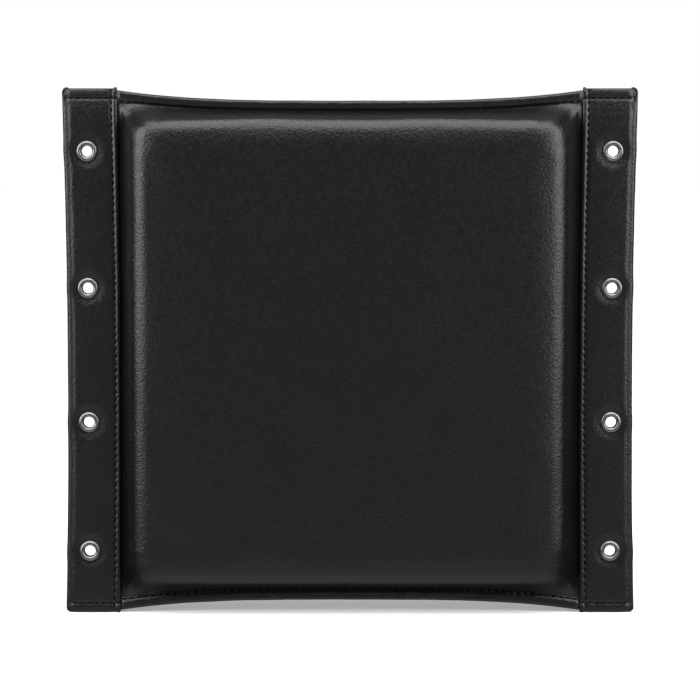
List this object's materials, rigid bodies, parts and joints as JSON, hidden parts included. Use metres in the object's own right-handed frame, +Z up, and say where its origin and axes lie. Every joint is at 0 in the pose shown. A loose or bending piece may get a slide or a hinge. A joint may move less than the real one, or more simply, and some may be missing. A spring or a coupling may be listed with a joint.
{
  "type": "wall punch pad",
  "caption": "Flat foam punching pad in stitched black leather, with a folded band of eyelets down each side for screwing it to a wall.",
  "frame": {"origin": "centre of the outer four screw holes, on the plane of the wall", "axes": "+X to the right seen from the front, +Y into the wall, +Z up"},
  "size_m": [0.342, 0.0207, 0.314],
  "materials": {
    "leather_black": "fine-grained black faux leather, satin",
    "foam_firm": "firm closed-cell foam",
    "foam_soft": "softer open-cell foam",
    "webbing_black": "stiff woven reinforcing strip",
    "nickel": "polished nickel plate",
    "thread_black": "bonded sewing thread"
  },
  "bodies": {
    "root": {"front_cover": "leather_black", "back_cover": "leather_black", "foam_face_layer": "foam_soft", "foam_base_layer": "foam_firm", "left_band": "leather_black", "left_stiffener": "webbing_black", "left_seam_needle_thread": "thread_black", "left_seam_bobbin_thread": "thread_black", "right_band": "leather_black", "right_stiffener": "webbing_black", "right_seam_needle_thread": "thread_black", "right_seam_bobbin_thread": "thread_black", "top_hem_needle_thread": "thread_black", "top_hem_bobbin_thread": "thread_black", "bottom_hem_needle_thread": "thread_black", "bottom_hem_bobbin_thread": "thread_black", "eyelet_left_top": "nickel", "washer_left_top": "nickel", "eyelet_left_upper": "nickel", "washer_left_upper": "nickel", "eyelet_left_lower": "nickel", "washer_left_lower": "nickel", "eyelet_left_bottom": "nickel", "washer_left_bottom": "nickel", "eyelet_right_top": "nickel", "washer_right_top": "nickel", "eyelet_right_upper": "nickel", "washer_right_upper": "nickel", "eyelet_right_lower": "nickel", "washer_right_lower": "nickel", "eyelet_right_bottom": "nickel", "washer_right_bottom": "nickel"}
  },
  "joints": []
}
